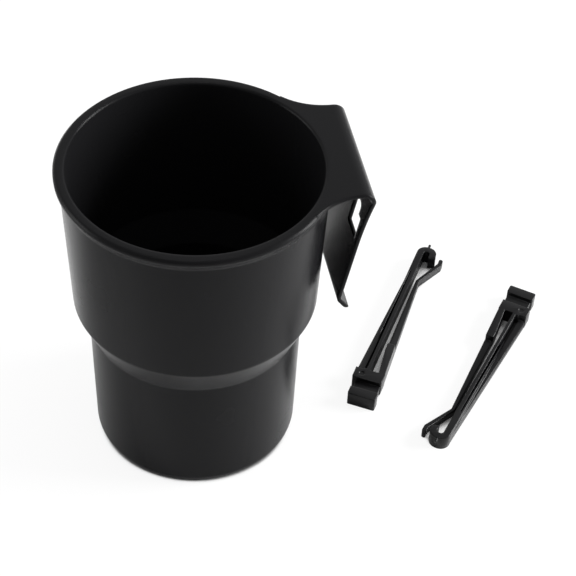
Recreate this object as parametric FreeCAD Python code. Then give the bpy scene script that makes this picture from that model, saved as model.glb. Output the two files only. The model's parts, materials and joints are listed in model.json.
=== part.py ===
import FreeCAD, Part
import math
import os

from FreeCAD import Placement, Rotation, Vector

# A cup holder for a car's air vent: a stepped, tapered cup with its hanger, moulded as one piece,
# and two loose vent clips that go into the stepped slots of the hanger.
# Millimetres. The origin is on the cup's axis, on the surface that the cup stands on.
# +Z is up, and +X points from the cup's axis to the hanger.

# Cup
cup_height = 111.2
rim_radius = 43.0
rim_inner_radius = 39.4
wall_top_radius = 41.4
step_top_radius = 39.43
step_bottom_radius = 34.59
base_radius = 33.7
step_top_height = 58.9
step_bottom_height = 47.6
rim_height = 1.8
rim_chamfer_height = 2.8
cup_wall = 2.1
cup_floor = 2.4
base_edge_radius = 3.2
floor_edge_chamfer = 1.4
step_edge_radius = 1.5
rim_outer_chamfer = 0.8
rim_inner_chamfer = 0.5

# Hanger: one sheet that leaves the rim flat, folds down and leans back towards the cup
sheet = 1.3
hanger_overhang = 8.5
hanger_half_width = 22.0
hanger_edge_chamfer = 0.3
blend_sink = 0.15
fold_radius = 4.3
lean = 10.7
plate_length = 43.3
flare = 3.0
flare_drop = 0.3
flare_top_radius = 8.0
flare_bottom_radius = 80.0
bend_radius = 1.5
lip_angle = 36.0
lip_length = 5.8
lip_corner_radius = 2.0
lip_edge_radius = 0.55

# Vent clip, along its own length: head, neck and shoulder, then a thick and a thin leg
clip_height = 5.5
leg_height = 3.1
head_length = 3.8
head_width = 10.0
head_corner = 0.6
shoulder_corner = 0.4
neck_length = 4.4
neck_width = 8.9
neck_thickness = 3.0
neck_rise = 0.9
shoulder_length = 4.8
shoulder_left = 6.0
shoulder_right = 4.7
mark_radius = 1.0
mark_depth = 0.25
legs_reach = 68.2
slit_left = 1.0
slit_left_end = 0.5
slit_mouth = 3.3
slit_width = 2.0
slit_end_width = 1.1
slit_taper_length = 12.0
rib_width = 2.2
leg_left_end = 3.0
thin_leg_end = 1.8
tall_length = 15.0
splay_reach = 51.8
splay_length = 12.4
splay_angle = 25.5
splay_tip_width = 1.5
splay_tip_length = 2.9
hook_wall = 2.4
hook_outer_radius = 3.4
hook_inner_radius = 1.0
hook_side = 4.3
hook_curl = 5.6
hook_tip_skew = 1.5
nub_radius = 0.5
nub_length = 1.7

# Stepped slots of the hanger, sized by the clip that goes through them
slot_side = 8.0
slot_drop = 7.0
slot_step_drop = 10.9
slot_step_width = 2.3
slot_end_clearance = 0.5
head_clearance = 0.2
slot_corner = 0.5
slot_top_corner = 1.8
slot_chamfer = 0.35

# Where the middle of each clip's head end lies, and the way that the clip points
clip_left_x = 56.48
clip_left_y = -9.35
clip_left_turn = 59.0
clip_right_x = 127.78
clip_right_y = 32.49
clip_right_turn = -127.5

UP = Vector(0, 0, 1)
FLAT = 1e-6


def rounded_corner(before, corner, after, radius):
    """The start and end of the arc that rounds a corner, and the arc itself."""
    back = (before - corner).normalize()
    ahead = (after - corner).normalize()
    half = back.getAngle(ahead) / 2
    reach = radius / math.tan(half)
    middle = (back + ahead).normalize() * (radius / math.sin(half) - radius)
    start, end = corner + back * reach, corner + ahead * reach
    return start, end, Part.Arc(start, corner + middle, end).toShape()


def outline(points, place, most_turn=math.pi):
    """A closed wire through the points (a, b, radius), with each corner rounded by its radius.
    A corner that turns by more than most_turn is rounded by two arcs of the same circle."""
    corners = [place(a, b) for a, b, radius in points]
    edges = []
    ends = []
    for i, (a, b, radius) in enumerate(points):
        if radius:
            after = corners[(i + 1) % len(corners)]
            start, end, arc = rounded_corner(corners[i - 1], corners[i], after, radius)
            if arc.Length > radius * most_turn:
                marks = arc.discretize(5)
                edges += [Part.Arc(*marks[:3]).toShape(), Part.Arc(*marks[2:]).toShape()]
            else:
                edges.append(arc)
            ends.append((start, end))
        else:
            ends.append((corners[i], corners[i]))
    for i, (start, end) in enumerate(ends):
        if start.distanceToPoint(ends[i - 1][1]) > FLAT:
            edges.append(Part.makeLine(ends[i - 1][1], start))
    return Part.Wire(Part.__sortEdges__(edges))


def in_plan(x, y):
    return Vector(x, y, 0)


def in_section(x, z):
    return Vector(x, 0, z)


def from_front(y, z):
    return Vector(0, y, z)


def revolved(points):
    """A full turn of a section about the cup's axis, with no rounded surface wider than 60 degrees."""
    section = outline(points, in_section, math.radians(60))
    return Part.Face(section).revolve(Vector(0, 0, 0), UP, 360)


def upright(points, bottom, top):
    """A prism that stands on an outline drawn in plan."""
    face = Part.Face(outline(points, in_plan))
    face.translate(UP * bottom)
    return face.extrude(UP * (top - bottom))


def middle_normal(face):
    u_first, u_last, v_first, v_last = face.ParameterRange
    return face.normalAt((u_first + u_last) / 2, (v_first + v_last) / 2)


def cup_outside():
    """The cup as a solid body, with the chamfer that carries its rim."""
    rim_underside = cup_height - rim_height
    return revolved([
        (0, 0, 0),
        (base_radius, 0, base_edge_radius),
        (step_bottom_radius, step_bottom_height, step_edge_radius),
        (step_top_radius, step_top_height, step_edge_radius),
        (wall_top_radius, rim_underside - rim_chamfer_height, 0),
        (rim_radius, rim_underside, 0),
        (rim_radius, cup_height - rim_outer_chamfer, 0),
        (rim_radius - rim_outer_chamfer, cup_height, 0),
        (0, cup_height, 0),
    ])


def cup_inside():
    """The space inside the cup, a wall's thickness in from the outside, with its chamfered mouth."""
    above = cup_height + rim_height
    floor_radius = base_radius - cup_wall
    return revolved([
        (0, cup_floor, 0),
        (floor_radius - floor_edge_chamfer, cup_floor, 0),
        (floor_radius, cup_floor + floor_edge_chamfer, 0),
        (step_bottom_radius - cup_wall, step_bottom_height, 0),
        (step_top_radius - cup_wall, step_top_height, 0),
        (rim_inner_radius, cup_height - rim_inner_chamfer, 0),
        (rim_inner_radius + rim_inner_chamfer, cup_height, 0),
        (rim_inner_radius + rim_inner_chamfer, above, 0),
        (0, above, 0),
    ])


def fold_centre():
    return Vector(rim_radius + hanger_overhang - fold_radius, 0, cup_height - fold_radius)


def flange():
    """The flat part of the hanger. On each side a hollow blend, tangent to the rim and to the plate's
    side, carries the rim out to where the fold starts, and that sets the blend's radius."""
    seat_radius = rim_radius - blend_sink
    blend_x = fold_centre().x
    spare = blend_x ** 2 + hanger_half_width ** 2 - seat_radius ** 2
    blend_radius = spare / (2 * (seat_radius - hanger_half_width))
    edges = []
    corners = []
    for side in (-1, 1):
        centre = Vector(blend_x, side * (hanger_half_width + blend_radius), 0)
        on_rim = centre * (seat_radius / centre.Length)
        end = Vector(blend_x, side * hanger_half_width, 0)
        halfway = ((on_rim - centre) + (end - centre)).normalize() * blend_radius
        edges.append(Part.Arc(on_rim, centre + halfway, end).toShape())
        corners.append((on_rim, end))
    edges.append(Part.makeLine(corners[0][0], corners[1][0]))
    edges.append(Part.makeLine(corners[0][1], corners[1][1]))
    slab = Part.Face(Part.Wire(Part.__sortEdges__(edges))).extrude(UP * sheet)
    slab.translate(UP * (cup_height - sheet))
    return slab


def plate_axes():
    """The way down along the leaning plate, and the way out of its outer face."""
    tilt = math.radians(lean)
    return Vector(-math.sin(tilt), 0, -math.cos(tilt)), Vector(math.cos(tilt), 0, -math.sin(tilt))


def plate_point(drop, depth):
    """A point of the plate's section: drop runs down the plate from the level of the fold's centre,
    and depth runs into the plate from its outer face."""
    down, outward = plate_axes()
    level = Vector(fold_radius / outward.x, 0, 0)
    return fold_centre() + level + down * drop - outward * depth


def hanger_section():
    """The sheet's section from the end of the flange, round the fold and down to the tip of the lip."""
    tilt, lip_tilt = math.radians(lean), math.radians(lip_angle)
    down, outward = plate_axes()
    lip_down = Vector(math.sin(lip_tilt), 0, -math.cos(lip_tilt))
    lip_up = Vector(math.cos(lip_tilt), 0, math.sin(lip_tilt))
    fold_turn = math.tan((math.pi / 2 + tilt) / 2)
    bend_turn = math.tan((tilt + lip_tilt) / 2)
    centre = fold_centre()
    outer_fold = centre + Vector(fold_turn, 0, 1) * fold_radius
    inner_fold = centre + Vector(fold_turn, 0, 1) * (fold_radius - sheet)
    inner_bend = plate_point(plate_length, sheet)
    outer_bend = inner_bend + outward * sheet - down * (sheet * bend_turn)
    inner_tip = inner_bend + lip_down * lip_length
    outer_tip = inner_tip + lip_up * sheet
    return [
        (centre.x, cup_height, 0),
        (outer_fold.x, outer_fold.z, fold_radius),
        (outer_bend.x, outer_bend.z, bend_radius),
        (outer_tip.x, outer_tip.z, lip_edge_radius),
        (inner_tip.x, inner_tip.z, lip_edge_radius),
        (inner_bend.x, inner_bend.z, bend_radius + sheet),
        (inner_fold.x, inner_fold.z, fold_radius - sheet),
        (centre.x, cup_height - sheet, 0),
    ]


def flare_side(side, tip):
    """One side of the plate seen from the front, from above the flange down to the lip's tip. Two arcs
    that touch, a short one above and a long one below, make the plate narrower by the flare."""
    turn = math.acos(1 - flare / (flare_top_radius + flare_bottom_radius))
    top = cup_height - sheet - flare_drop
    bottom = top - (flare_top_radius + flare_bottom_radius) * math.sin(turn)
    narrow = hanger_half_width - flare
    upper_centre = (hanger_half_width - flare_top_radius, top)
    lower_centre = (narrow + flare_bottom_radius, bottom)

    def on_upper(angle):
        y = upper_centre[0] + flare_top_radius * math.cos(angle)
        return from_front(side * y, upper_centre[1] - flare_top_radius * math.sin(angle))

    def on_lower(angle):
        y = lower_centre[0] - flare_bottom_radius * math.cos(angle)
        return from_front(side * y, lower_centre[1] + flare_bottom_radius * math.sin(angle))

    above = from_front(side * hanger_half_width, cup_height + sheet)
    corner = from_front(side * narrow, tip)
    start, end, lip_arc = rounded_corner(on_lower(0), corner, from_front(0, tip), lip_corner_radius)
    return end, [
        Part.makeLine(above, on_upper(0)),
        Part.Arc(on_upper(0), on_upper(turn / 2), on_upper(turn)).toShape(),
        Part.Arc(on_lower(turn), on_lower(turn / 2), on_lower(0)).toShape(),
        Part.makeLine(on_lower(0), start),
        lip_arc,
    ]


def folded_plate():
    """The sheet from the fold down, cut to its front outline."""
    section = hanger_section()
    width = 4 * hanger_half_width
    body = Part.Face(outline(section, in_section)).extrude(Vector(0, width, 0))
    body.translate(Vector(0, -width / 2, 0))
    tip = min(z for x, z, radius in section)
    left_end, left_edges = flare_side(-1, tip)
    right_end, right_edges = flare_side(1, tip)
    left_top, right_top = left_edges[0].Vertexes[0].Point, right_edges[0].Vertexes[0].Point
    ends = [Part.makeLine(left_end, right_end), Part.makeLine(left_top, right_top)]
    front = Part.Wire(Part.__sortEdges__(left_edges + right_edges + ends))
    return body.common(Part.Face(front).extrude(Vector(2 * rim_radius, 0, 0)))


def hanger():
    """Flange and folded plate as one sheet, its outer edges broken and its inner ones left sharp.
    The broad faces don't turn sideways, and the narrow faces along the two sides do."""
    body = flange().fuse(folded_plate()).removeSplitter().Solids[0]
    facing = Vector(1, 0, 1)
    sideways = math.sin(math.radians(15))
    outer_edges = []
    for edge in body.Edges:
        normals = [middle_normal(face) for face in body.ancestorsOfType(edge, Part.Face)]
        broad = [normal for normal in normals if abs(normal.y) < FLAT]
        narrow = [normal for normal in normals if abs(normal.y) > sideways]
        if broad and narrow and broad[0].dot(facing) > 0:
            outer_edges.append(edge)
    return body.makeChamfer(hanger_edge_chamfer, outer_edges)


def slot_cutter(side):
    """One stepped slot, which a clip's head goes through upright. Its edge nearer the hanger's middle is
    straight, and its other edge steps outwards below. Both mouths are chamfered."""
    down, outward = plate_axes()
    narrow = slot_side + clip_height + 2 * head_clearance
    wide = narrow + slot_step_width
    bottom = slot_drop + head_width + 2 * slot_end_clearance

    def mouth(grow, depth):
        points = [
            (slot_side - grow, slot_drop - grow, slot_top_corner),
            (narrow + grow, slot_drop - grow, slot_top_corner),
            (narrow + grow, slot_step_drop - grow, 0),
            (wide + grow, slot_step_drop - grow, slot_corner),
            (wide + grow, bottom + grow, slot_corner),
            (slot_side - grow, bottom + grow, slot_corner),
        ]

        def on_plate(across, drop):
            return plate_point(drop, depth) + Vector(0, side * across, 0)

        return outline(points, on_plate)

    cutter = Part.Face(mouth(0, 2 * sheet)).extrude(outward * (3 * sheet))
    outer_mouth = Part.makeLoft([mouth(0, slot_chamfer), mouth(2 * slot_chamfer, -slot_chamfer)], True)
    inner_mouth = Part.makeLoft(
        [mouth(0, sheet - slot_chamfer), mouth(2 * slot_chamfer, sheet + slot_chamfer)], True)
    return [cutter, outer_mouth, inner_mouth]


def cup_with_hanger():
    body = cup_outside().fuse(hanger()).cut(cup_inside())
    return body.cut(slot_cutter(-1) + slot_cutter(1)).removeSplitter().Solids[0]


def clip_shape():
    """A vent clip that lies on its side, its length along +X and its thick leg on the +Y side."""
    shoulder_start = head_length + neck_length
    legs_start = shoulder_start + shoulder_length
    hook_end = legs_start + legs_reach
    hook_start = hook_end - hook_curl
    root = shoulder_start + shoulder_length / 2

    head = upright([
        (0, -head_width / 2, head_corner),
        (0, head_width / 2, head_corner),
        (head_length, head_width / 2, head_corner),
        (head_length, -head_width / 2, head_corner),
    ], 0, clip_height)
    neck = upright([
        (head_length / 2, -neck_width / 2, 0),
        (head_length / 2, neck_width / 2, 0),
        (root, neck_width / 2, 0),
        (root, -neck_width / 2, 0),
    ], neck_rise, neck_rise + neck_thickness)
    shoulder = upright([
        (shoulder_start, -shoulder_right, 0),
        (shoulder_start, shoulder_left, shoulder_corner),
        (legs_start, shoulder_left, 0),
        (legs_start, -shoulder_right, 0),
    ], 0, clip_height)

    def thick_leg(left_start, bottom, top):
        """The leg that ends in a hook, from the shoulder round to the tip of its curl."""
        return upright([
            (root, slit_left, 0),
            (root, left_start, 0),
            (hook_start, leg_left_end, 0),
            (hook_end, leg_left_end, hook_outer_radius),
            (hook_end, -hook_side, hook_outer_radius),
            (hook_start + hook_tip_skew, -hook_side, 0),
            (hook_start, hook_wall - hook_side, 0),
            (hook_end - hook_wall, hook_wall - hook_side, hook_inner_radius),
            (hook_end - hook_wall, slit_left_end, hook_inner_radius),
            (hook_start - hook_curl, slit_left_end, 0),
            (legs_start, slit_left, 0),
        ], bottom, top)

    turn = math.radians(splay_angle)
    along = Vector(math.cos(turn), -math.sin(turn), 0)
    bend = Vector(legs_start + splay_reach, -thin_leg_end, 0)
    kink = bend + along * splay_length
    kink_inner = kink + Vector(math.tan(turn / 2), 1, 0) * splay_tip_width
    tip = kink + Vector(splay_tip_length, 0, 0)
    tip_inner = tip + Vector(0, splay_tip_width, 0)
    bend_inner = slit_left_end - slit_end_width
    thin_leg = upright([
        (root, -shoulder_right, 0),
        (bend.x, bend.y, 0),
        (kink.x, kink.y, 0),
        (tip.x, tip.y, splay_tip_width / 2),
        (tip_inner.x, tip_inner.y, splay_tip_width / 3),
        (kink_inner.x, kink_inner.y, 0),
        (bend.x, bend_inner, 0),
        (legs_start + slit_taper_length, slit_left - slit_width, 0),
        (legs_start, slit_left - slit_mouth, 0),
        (root, slit_left - slit_mouth, 0),
    ], 0, clip_height)
    low = upright([
        (legs_start + tall_length, 0, 0),
        (legs_start + tall_length, -2 * shoulder_left, 0),
        (hook_end, -2 * shoulder_left, 0),
        (hook_end, 0, 0),
    ], leg_height, 2 * clip_height)
    thin_leg = thin_leg.cut(low)

    nub_start = Vector(hook_end - hook_wall / 2, -nub_radius, clip_height - nub_radius)
    nub = Part.makeCylinder(nub_radius, hook_wall / 2 + nub_length, nub_start, Vector(1, 0, 0))
    rib_side = slit_left + rib_width
    mark_bottom = Vector(root, rib_side, clip_height - mark_depth)
    mark = Part.makeCylinder(mark_radius, 2 * mark_depth, mark_bottom)
    ledge = thick_leg(shoulder_left, 0, leg_height)
    rib = thick_leg(rib_side, leg_height / 2, clip_height)
    body = head.fuse([neck, shoulder, ledge, rib, thin_leg, nub])
    return body.cut(mark).removeSplitter().Solids[0]


def placed_clip(x, y, turn):
    clip = clip_shape()
    clip.Placement = Placement(Vector(x, y, 0), Rotation(UP, turn))
    return clip


os.makedirs("parts", exist_ok=True)
cup_with_hanger().exportStep("parts/cup_with_hanger.step")
placed_clip(clip_left_x, clip_left_y, clip_left_turn).exportStep("parts/vent_clip_left.step")
placed_clip(clip_right_x, clip_right_y, clip_right_turn).exportStep("parts/vent_clip_right.step")
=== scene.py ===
# %% [markdown]
# # A car cup holder and its two vent clips
#
# The real thing is three mouldings: a cup that has its hanger moulded on, and two clips that push onto the
# blades of an air vent. Their solids come from CAD and are already the right shape and size. So the cup is
# used as it is, and the clips only gain a channel and soft edges. The rest of the scene is their finishes,
# a floor, the lights of a product photographer, and the camera.

import json
import math

import bmesh
import bpy
from mathutils import Matrix, Vector


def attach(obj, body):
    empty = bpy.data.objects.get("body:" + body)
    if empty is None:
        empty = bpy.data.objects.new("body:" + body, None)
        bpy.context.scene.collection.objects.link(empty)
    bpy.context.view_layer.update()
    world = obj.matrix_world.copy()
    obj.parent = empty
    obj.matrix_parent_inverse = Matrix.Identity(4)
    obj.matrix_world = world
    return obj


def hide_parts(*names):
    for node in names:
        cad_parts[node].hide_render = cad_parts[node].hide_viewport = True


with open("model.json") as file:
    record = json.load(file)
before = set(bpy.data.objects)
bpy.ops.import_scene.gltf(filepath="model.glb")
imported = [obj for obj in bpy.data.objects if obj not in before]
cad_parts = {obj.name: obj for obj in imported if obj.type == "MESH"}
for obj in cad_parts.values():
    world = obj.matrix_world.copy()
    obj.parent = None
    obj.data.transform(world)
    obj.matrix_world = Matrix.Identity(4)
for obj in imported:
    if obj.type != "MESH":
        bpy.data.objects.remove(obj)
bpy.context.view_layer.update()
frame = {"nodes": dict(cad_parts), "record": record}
nodes = frame["nodes"]
MM = 0.001

print("solids:", ", ".join(sorted(nodes)))

# %% [markdown]
# ## Camera
#
# A photograph taken with a long lens from a little over half a metre away shows little perspective. The
# camera stands above and in front of the cup and looks down at about 45 degrees. It could be aimed with a
# constraint, but a place, a point to look at and a small roll say the same thing and leave nothing live.

# %% Set the camera
lens_mm = 108.0
sensor_mm = 36.0
camera_place = Vector((-62.10, -392.11, 453.14)) * MM
camera_aim = Vector((43.12, 52.52, 0.0)) * MM
camera_roll = math.radians(2.97)

camera_data = bpy.data.cameras.new("studio_camera")
camera_data.lens = lens_mm
camera_data.sensor_width = sensor_mm
camera = bpy.data.objects.new("studio_camera", camera_data)
view = camera_aim - camera_place
level = view.to_track_quat("-Z", "Y").to_matrix().to_4x4()
camera.matrix_world = Matrix.Translation(camera_place) @ level @ Matrix.Rotation(camera_roll, 4, "Z")
bpy.context.scene.collection.objects.link(camera)
bpy.context.scene.camera = camera
print("camera to aim, mm:", round(view.length / MM))

# %% [markdown]
# ## Helpers for materials
#
# Shader nodes can be placed by hand in the editor or written out here. Written out, a material is a short
# list of nodes, so one helper that adds a node with its settings and its links is all that is needed.
# Colours are easier to read as the hex values of a paint program. Those are sRGB, and the renderer works in
# linear light, so one function turns one into the other.

# %% Colour and node helpers
def paint(hex_value):
    """An sRGB hex colour as linear RGBA."""
    channels = [int(hex_value[i:i + 2], 16) / 255 for i in (1, 3, 5)]
    linear = [c / 12.92 if c <= 0.04045 else ((c + 0.055) / 1.055) ** 2.4 for c in channels]
    return (*linear, 1.0)


def add_node(tree, kind, settings=None, inputs=None, links=None):
    """Adds one node. Settings are its properties, inputs its socket values, and links its sources."""
    node = tree.nodes.new(kind)
    for name, value in (settings or {}).items():
        setattr(node, name, value)
    for name, value in (inputs or {}).items():
        node.inputs[name].default_value = value
    for name, source in (links or {}).items():
        tree.links.new(source, node.inputs[name])
    return node


def new_material(name):
    """An empty node material with its output node."""
    material = bpy.data.materials.new(name)
    material.use_nodes = True
    material.node_tree.nodes.clear()
    output = add_node(material.node_tree, "ShaderNodeOutputMaterial")
    return material, material.node_tree, output


# %% [markdown]
# ## The cup's plastic
#
# The cup is black polypropylene. Its mould was spark-eroded, which leaves a fine random grain, so the skin
# looks satin: it has no sharp reflections, but it goes pale where it is seen at a low angle. The grain could
# be an image of the mould's texture. A noise texture in millimetres does the same at any size and needs
# no UV map. Two scales are used: the grain itself, and a slow drift in roughness, because a moulding never
# shines evenly over its whole skin.
#
# A mould has no sharp inner corners, so the moulding has no sharp edges. Rounding each one in the mesh would
# cost many facets. A Bevel node turns the shading normals within a radius of an edge instead, which is
# enough where the outline stays the same, as it does on the rim and the step.

# %% Satin black polypropylene, spark-eroded
grain_mm = 0.45
drift_mm = 22.0
edge_samples = 8


def moulded_plastic(name, colour, roughness, roughness_drift, grain_size, grain_height, ior, level, edge):
    """Black moulded plastic: a fine grain as bump, edges that look rounded, and a roughness that drifts.

    The sizes grain_size, grain_height and edge, the radius of the rounded look, are in mm."""
    material, tree, output = new_material(name)
    place = add_node(tree, "ShaderNodeTexCoord").outputs["Object"]
    grain = add_node(
        tree, "ShaderNodeTexNoise",
        inputs={"Scale": 1 / (grain_size * MM), "Detail": 2.0, "Roughness": 0.6},
        links={"Vector": place})
    drift = add_node(
        tree, "ShaderNodeTexNoise",
        inputs={"Scale": 1 / (drift_mm * MM), "Detail": 3.0},
        links={"Vector": place})
    shine = add_node(
        tree, "ShaderNodeMapRange",
        inputs={
            "From Min": 0.3, "From Max": 0.7,
            "To Min": roughness - roughness_drift, "To Max": roughness + roughness_drift},
        links={"Value": drift.outputs["Fac"]})
    rounded = add_node(tree, "ShaderNodeBevel", {"samples": edge_samples}, {"Radius": edge * MM})
    bump = add_node(
        tree, "ShaderNodeBump",
        inputs={"Strength": 1.0, "Distance": grain_height * MM},
        links={"Height": grain.outputs["Fac"], "Normal": rounded.outputs["Normal"]})
    surface = add_node(
        tree, "ShaderNodeBsdfPrincipled",
        inputs={"Base Color": paint(colour), "IOR": ior, "Specular IOR Level": level},
        links={"Roughness": shine.outputs["Result"], "Normal": bump.outputs["Normal"]})
    tree.links.new(surface.outputs["BSDF"], output.inputs["Surface"])
    return material


cup_plastic = moulded_plastic(
    "satin_black_polypropylene_spark_eroded", "#131314", roughness=0.25, roughness_drift=0.03,
    grain_size=grain_mm, grain_height=0.02, ior=1.49, level=0.055, edge=1.4)
print("cup finish:", cup_plastic.name)

# %% [markdown]
# ## The clips' plastic
#
# The clips flex, so they are nylon, from a smoother mould than the cup's. They are a little blacker than the
# cup, mirror a little more of the light, and have tighter edges, because their walls are thinner.

# %% Satin black nylon
clip_grain_mm = 0.6

clip_plastic = moulded_plastic(
    "satin_black_nylon_moulded", "#0f0f10", roughness=0.3, roughness_drift=0.04,
    grain_size=clip_grain_mm, grain_height=0.012, ior=1.53, level=0.13, edge=0.5)
print("clip finish:", clip_plastic.name)

# %% Give the cup its finish
cup = nodes["cup_with_hanger"]
for slot in cup.material_slots:
    slot.material = cup_plastic
print(cup.name, "has", len(cup.material_slots), "slot of", cup_plastic.name)

# %% [markdown]
# ## The clips, with their channels
#
# The CAD clips are rigid bodies with the right outline, but each real thick leg also has a narrow channel
# between its rib and its ledge, and softly broken edges. Both are for looks only. So each clip is copied,
# the channel is cut with a boolean, the edges get a small bevel, and the result stands for the CAD clip.
# The record already says where each clip is gripped and which way it points, and the channel is drawn in
# plan from that point, so no place is written twice.
#
# A CAD mesh comes as triangles with doubled corners. The corners are welded first, because a bevel needs
# faces that share their edges, and the triangles of each flat side are joined into one face.

# %% Cut the channels and bevel the edges
grip_from_head_mm = 43.05
grip_aside_mm = -0.19
channel_floor_mm = 1.3
channel_top_mm = 7.0
channel_plan_mm = [(13.4, 2.1), (66.5, 1.95), (66.5, 2.4), (13.4, 3.4)]
edge_bevel_mm = 0.22
edge_bevel_segments = 2
weld_mm = 0.002
flat_angle = math.radians(2)
sharp_angle = math.radians(35)


def prism(name, plan, bottom, top):
    """A closed mesh object that stands on a plan outline of four points."""
    count = len(plan)
    verts = [(x, y, z) for z in (bottom, top) for x, y in plan]
    sides = [(i, (i + 1) % count, count + (i + 1) % count, count + i) for i in range(count)]
    mesh = bpy.data.meshes.new(name)
    mesh.from_pydata(verts, [], [tuple(reversed(range(count))), tuple(range(count, 2 * count)), *sides])
    made = bpy.data.objects.new(name, mesh)
    bpy.context.scene.collection.objects.link(made)
    return made


def detailed_clip(node_name, grip_name, piece_name):
    """A copy of a CAD clip with its channel cut and its edges bevelled."""
    grip = next(mount for mount in frame["record"]["mounts"] if mount["name"] == grip_name)
    along = Vector(grip["axis"]).normalized()
    across = Vector((0, 0, 1)).cross(along)
    head = Vector(grip["pos_m"]) - along * grip_from_head_mm * MM - across * grip_aside_mm * MM
    plan = [(head + along * x * MM + across * y * MM).xy for x, y in channel_plan_mm]
    cutter = prism("channel_cutter", plan, channel_floor_mm * MM, channel_top_mm * MM)

    solid = bmesh.new()
    solid.from_mesh(nodes[node_name].data)
    solid.transform(nodes[node_name].matrix_world)
    bmesh.ops.remove_doubles(solid, verts=solid.verts, dist=weld_mm * MM)
    bmesh.ops.dissolve_limit(solid, angle_limit=flat_angle, verts=solid.verts, edges=solid.edges)
    mesh = bpy.data.meshes.new(piece_name)
    solid.to_mesh(mesh)
    solid.free()
    clip = bpy.data.objects.new(piece_name, mesh)
    bpy.context.scene.collection.objects.link(clip)

    cut = clip.modifiers.new("channel", "BOOLEAN")
    cut.object = cutter
    cut.operation = "DIFFERENCE"
    cut.solver = "EXACT"
    bevel = clip.modifiers.new("broken_edges", "BEVEL")
    bevel.width = edge_bevel_mm * MM
    bevel.segments = edge_bevel_segments
    bevel.limit_method = "ANGLE"
    bevel.angle_limit = sharp_angle
    bpy.context.view_layer.update()
    graph = bpy.context.evaluated_depsgraph_get()
    finished = bpy.data.meshes.new_from_object(clip.evaluated_get(graph))
    clip.modifiers.clear()
    clip.data = finished
    finished.name = piece_name
    finished.materials.clear()
    finished.materials.append(clip_plastic)
    finished.shade_smooth()
    finished.set_sharp_from_angle(angle=sharp_angle)
    bpy.data.objects.remove(cutter)
    print(piece_name, "has", len(finished.polygons), "faces")
    return clip


for side in ("left", "right"):
    clip = detailed_clip(f"vent_clip_{side}", f"clip_{side}_grip", f"detailed_clip_{side}")
    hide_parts(f"vent_clip_{side}")
    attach(clip, "root")

# %% [markdown]
# ## Floor
#
# The pieces stand on a white sheet that fades into a white background. A white floor in even light is
# brightest where nothing shades it. Here the camera sees most of the sheet's white as its own colour and a
# part of it as lit surface, so it stays white and still takes the soft shadow that seats the cup on it.
#
# The narrow gaps of the clips are the exception: light hardly reaches the sheet at their far ends. The
# ambient occlusion node tells how much stands close to a point, and its normal can be tilted to ask about
# one side only. Where something stands close both on the far side and on the near side, the point is in a
# gap. There the sheet is seen as lit surface and its colour is darkened to grey: a painted shade that stands
# in for the shadow.

# %% White floor with a soft shadow
floor_half_m = 4.0
shadow_share = 0.12
far_side = (0.15, 0.75, 0.65)
near_side = (-0.15, -0.75, 0.65)
far_limits = (0.5, 0.68)
near_limits = (0.16, 0.3)
gap_reach_mm = 9.0
gap_samples = 16
paper_white = "#f4f4f4"
# painted shade: the sheet's colour in the far ends of the clips' gaps, a grey that stands in for the shadow
painted_gap_shade = "#707070"

floor_material, floor_tree, floor_output = new_material("matt_white_paper_sheet")


def close_by(side, limits):
    """How much stands close to a point of the floor on one side, from 0 to 1 between the limits."""
    start, full = limits
    facing = add_node(floor_tree, "ShaderNodeCombineXYZ", inputs={"X": side[0], "Y": side[1], "Z": side[2]})
    open_part = add_node(
        floor_tree, "ShaderNodeAmbientOcclusion", {"samples": gap_samples},
        inputs={"Distance": gap_reach_mm * MM}, links={"Normal": facing.outputs["Vector"]})
    return add_node(
        floor_tree, "ShaderNodeMapRange",
        inputs={"From Min": 1 - start, "From Max": 1 - full, "To Min": 0.0, "To Max": 1.0},
        links={"Value": open_part.outputs["AO"]})


rays = add_node(floor_tree, "ShaderNodeLightPath")
plain = add_node(floor_tree, "ShaderNodeEmission", inputs={"Color": paint("#ffffff"), "Strength": 1.0})
gap_far = close_by(far_side, far_limits)
gap_near = close_by(near_side, near_limits)
gap = add_node(
    floor_tree, "ShaderNodeMath", {"operation": "MULTIPLY"},
    links={0: gap_far.outputs["Result"], 1: gap_near.outputs["Result"]})
# The gap mask mixes the painted shade into the sheet's white.
paper_with_painted_shade = add_node(
    floor_tree, "ShaderNodeMix", {"data_type": "RGBA"},
    inputs={6: paint(paper_white), 7: paint(painted_gap_shade)},
    links={0: gap.outputs[0]})
lit = add_node(floor_tree, "ShaderNodeBsdfDiffuse", links={"Color": paper_with_painted_shade.outputs[2]})
own_white = add_node(
    floor_tree, "ShaderNodeMapRange",
    inputs={"To Min": 1 - shadow_share, "To Max": 0.0},
    links={"Value": gap.outputs[0]})
share = add_node(
    floor_tree, "ShaderNodeMath", {"operation": "MULTIPLY"},
    links={0: rays.outputs["Is Camera Ray"], 1: own_white.outputs["Result"]})
floor_mix = add_node(
    floor_tree, "ShaderNodeMixShader",
    links={0: share.outputs[0], 1: lit.outputs[0], 2: plain.outputs[0]})
floor_tree.links.new(floor_mix.outputs[0], floor_output.inputs["Surface"])

floor_mesh = bpy.data.meshes.new("white_floor")
corners = [(-1, -1), (1, -1), (1, 1), (-1, 1)]
floor_mesh.from_pydata([(x * floor_half_m, y * floor_half_m, 0) for x, y in corners], [], [(0, 1, 2, 3)])
floor = bpy.data.objects.new("white_floor", floor_mesh)
floor.data.materials.append(floor_material)
bpy.context.scene.collection.objects.link(floor)

# %% [markdown]
# ## Light
#
# Black plastic shows its form almost only by reflections, so what matters is what it mirrors. The world is
# white all round and grows dark towards the camera's side, as a studio does behind the photographer. That
# keeps the faces that look at the camera dark beside the ones that look up. A soft box above lights the rim
# and the folds, and one on each side draws the outline of the cup.

# %% World
world = bpy.data.worlds.new("studio")
world.use_nodes = True
world.node_tree.nodes.clear()
world_tree = world.node_tree
fill_strength = 1.0
dark_strength = 0.3
dark_side = (-0.16, -0.70, 0.70)
dark_from = 0.1
dark_to = 0.95

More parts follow.
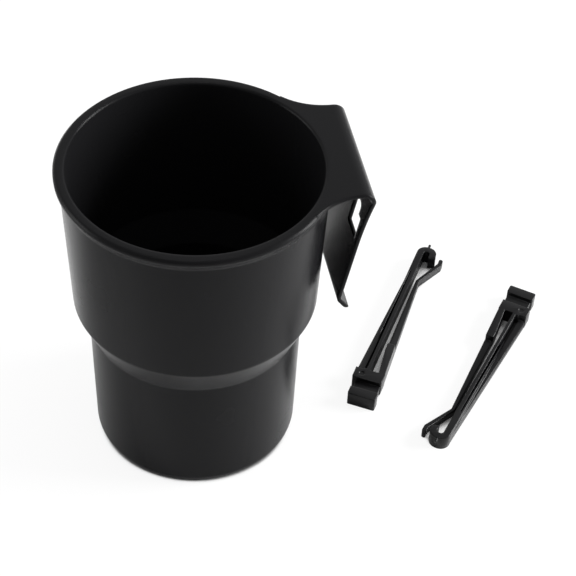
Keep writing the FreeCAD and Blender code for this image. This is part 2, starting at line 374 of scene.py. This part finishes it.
world_rays = add_node(world_tree, "ShaderNodeLightPath")
direction = add_node(world_tree, "ShaderNodeTexCoord").outputs["Generated"]
towards = add_node(
    world_tree, "ShaderNodeVectorMath", {"operation": "DOT_PRODUCT"},
    inputs={1: dark_side}, links={0: direction})
strength = add_node(
    world_tree, "ShaderNodeMapRange",
    inputs={
        "From Min": dark_from, "From Max": dark_to,
        "To Min": fill_strength, "To Max": dark_strength},
    links={"Value": towards.outputs["Value"]})
fill = add_node(
    world_tree, "ShaderNodeBackground", inputs={"Color": paint("#ffffff")},
    links={"Strength": strength.outputs["Result"]})
seen = add_node(world_tree, "ShaderNodeBackground", inputs={"Color": paint("#ffffff"), "Strength": 1.0})
world_mix = add_node(
    world_tree, "ShaderNodeMixShader",
    links={0: world_rays.outputs["Is Camera Ray"], 1: fill.outputs[0], 2: seen.outputs[0]})
world_output = add_node(world_tree, "ShaderNodeOutputWorld", links={"Surface": world_mix.outputs[0]})
bpy.context.scene.world = world

# %% Soft boxes
def soft_box(name, place, aim, width, height, power):
    """A rectangular area lamp at a place, turned to face a point. Lengths in metres, power in watts."""
    data = bpy.data.lights.new(name, "AREA")
    data.shape = "RECTANGLE"
    data.size = width
    data.size_y = height
    data.energy = power
    lamp = bpy.data.objects.new(name, data)
    lamp.location = place
    lamp.rotation_euler = (Vector(aim) - Vector(place)).to_track_quat("-Z", "Y").to_euler()
    bpy.context.scene.collection.objects.link(lamp)
    print(name, "stands", round((Vector(place) - Vector(aim)).length, 2), "m away")


middle = (0.04, 0.0, 0.05)
soft_box("soft_box_above", (0.0, 0.0, 1.3), middle, 0.6, 0.6, 4.0)
soft_box("soft_box_left", (-0.9, 0.2, 0.3), middle, 0.5, 0.5, 4.0)
soft_box("soft_box_right", (1.0, -0.1, 0.4), middle, 0.5, 0.5, 24.0)

# %% [markdown]
# ## Finish
#
# The look is judged at plain levels, so the view transform is Standard. Nothing here may change the
# object's dimensions.

bpy.context.scene.view_settings.view_transform = "Standard"
